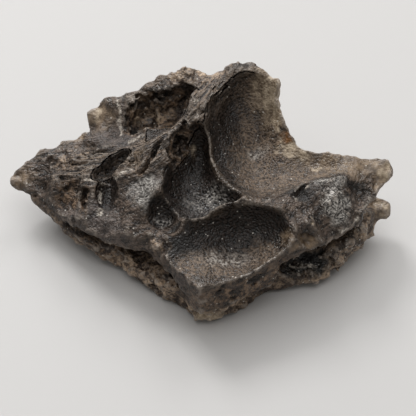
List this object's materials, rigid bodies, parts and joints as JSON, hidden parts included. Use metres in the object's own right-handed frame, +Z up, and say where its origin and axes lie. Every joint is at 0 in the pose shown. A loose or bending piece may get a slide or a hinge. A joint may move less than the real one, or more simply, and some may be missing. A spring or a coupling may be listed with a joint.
{
  "type": "darwin glass specimen",
  "caption": "Palm-sized natural impact-glass fragment: dark ridged cap with broken bubbles over a frothy brown base, resting on a flat worn patch.",
  "frame": {"origin": "on the flat resting patch of the underside, below the main ridge", "axes": "+X from the tail's tip to the shelf's tip (the longest way), +Y to the far side with the high peak, +Z up"},
  "size_m": [0.0577, 0.0364, 0.0198],
  "materials": {
    "impact_glass": "dark, nearly opaque natural glass: glossy inside the bubbles, matte and dusty outside"
  },
  "bodies": {
    "root": {"glass_stone": "impact_glass"}
  },
  "joints": []
}
